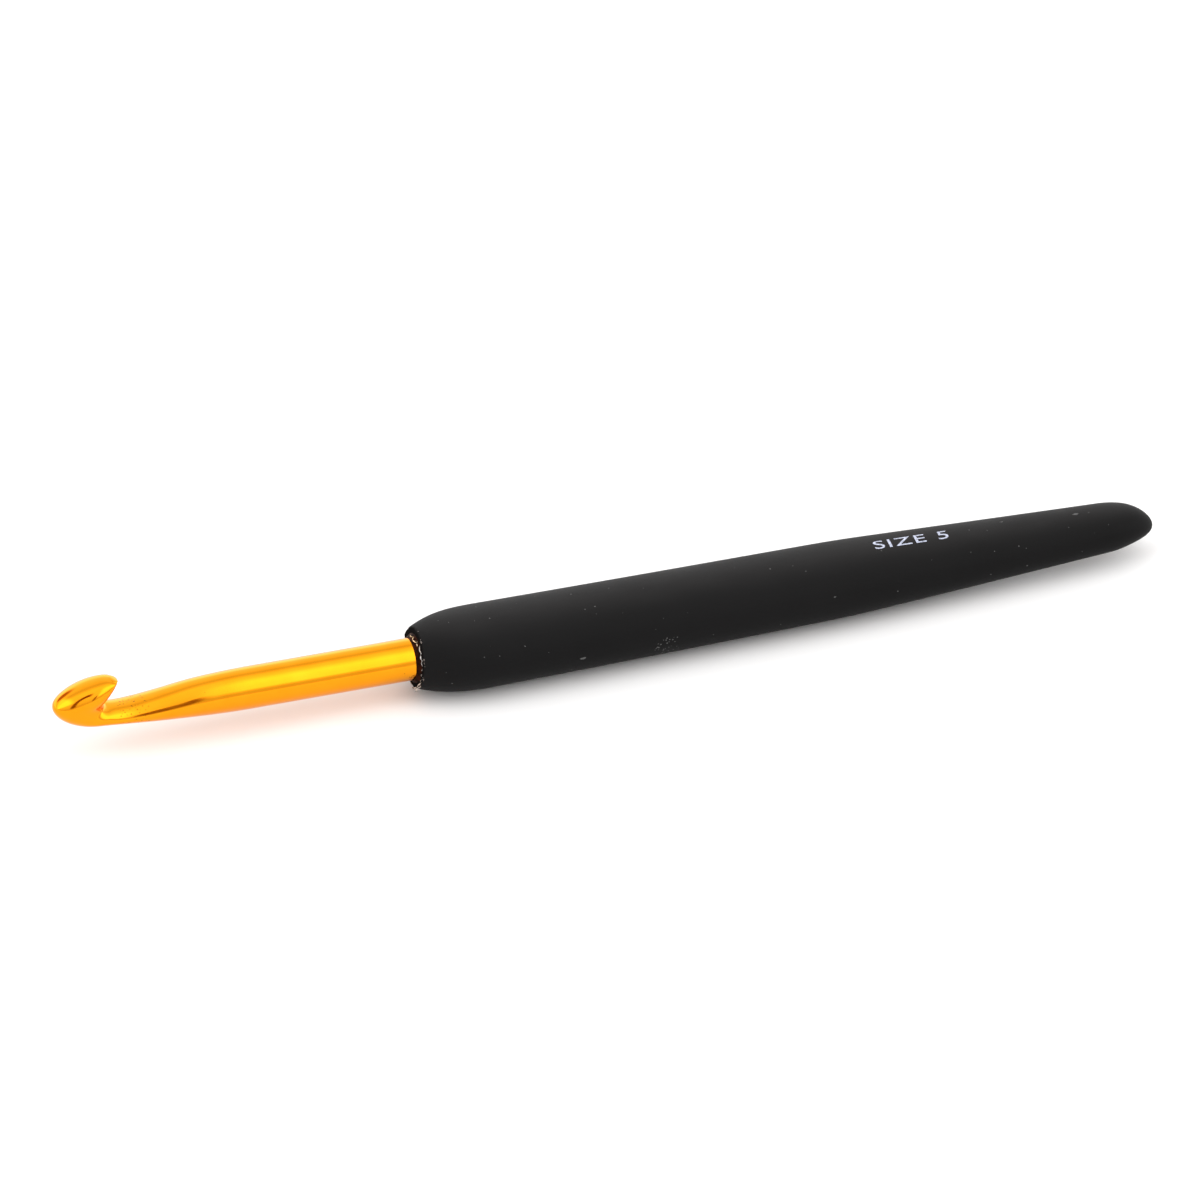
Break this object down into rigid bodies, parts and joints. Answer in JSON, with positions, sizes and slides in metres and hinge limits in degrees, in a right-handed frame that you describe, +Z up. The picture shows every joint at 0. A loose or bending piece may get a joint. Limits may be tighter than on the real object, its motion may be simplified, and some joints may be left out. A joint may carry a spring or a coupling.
{
  "type": "crochet hook",
  "caption": "Crochet hook for thick yarn: gold anodised aluminium hook with a raised lip and narrow throat, bonded into a tapered black soft-touch handle.",
  "frame": {"origin": "on the table, under the middle of the tool's length and width, with the tool lying at rest on the underside of its handle", "axes": "+X from the hook's tip to the handle's butt, +Z up from the table, which is also the side that the hook's mouth opens to, +Y sideways; the shaft's axis is 1.25 degrees off X, tip up"},
  "size_m": [0.1344, 0.0114, 0.0103],
  "materials": {
    "gold_anodised_aluminium": "satin anodised",
    "adhesive": "hardened resin",
    "hard_core_plastic": "moulded",
    "soft_touch_black": "soft touch matte",
    "print_ink": "pad printed"
  },
  "bodies": {
    "root": {"hook": "gold_anodised_aluminium", "bond_ring": "adhesive", "handle_core": "hard_core_plastic", "grip_skin": "soft_touch_black"}
  },
  "joints": []
}
